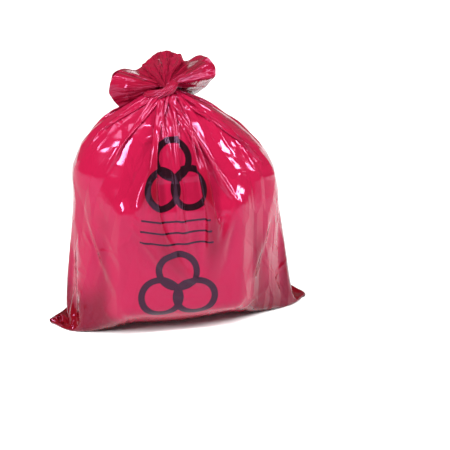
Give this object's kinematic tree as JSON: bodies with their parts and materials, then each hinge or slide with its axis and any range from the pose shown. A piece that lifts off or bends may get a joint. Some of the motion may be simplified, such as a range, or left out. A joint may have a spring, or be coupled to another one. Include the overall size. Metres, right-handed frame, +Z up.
{
  "type": "filled clinical waste bag",
  "caption": "Full bag of thin glossy red plastic film, standing on its base, with pinched bottom corners, folds running up to a neck tied in a knot, and a lobed ruffle of loose film above it.",
  "frame": {"origin": "middle of the base, on the floor, halfway along the bottom seal", "axes": "+Z up towards the knot, +X along the bottom seal towards the bag's right corner, -Y out of the printed front"},
  "size_m": [0.552, 0.296, 0.5779],
  "materials": {
    "red_film": "glossy, slightly see-through polyethylene film with black print on the front"
  },
  "bodies": {
    "root": {"bag": "red_film"}
  },
  "joints": []
}
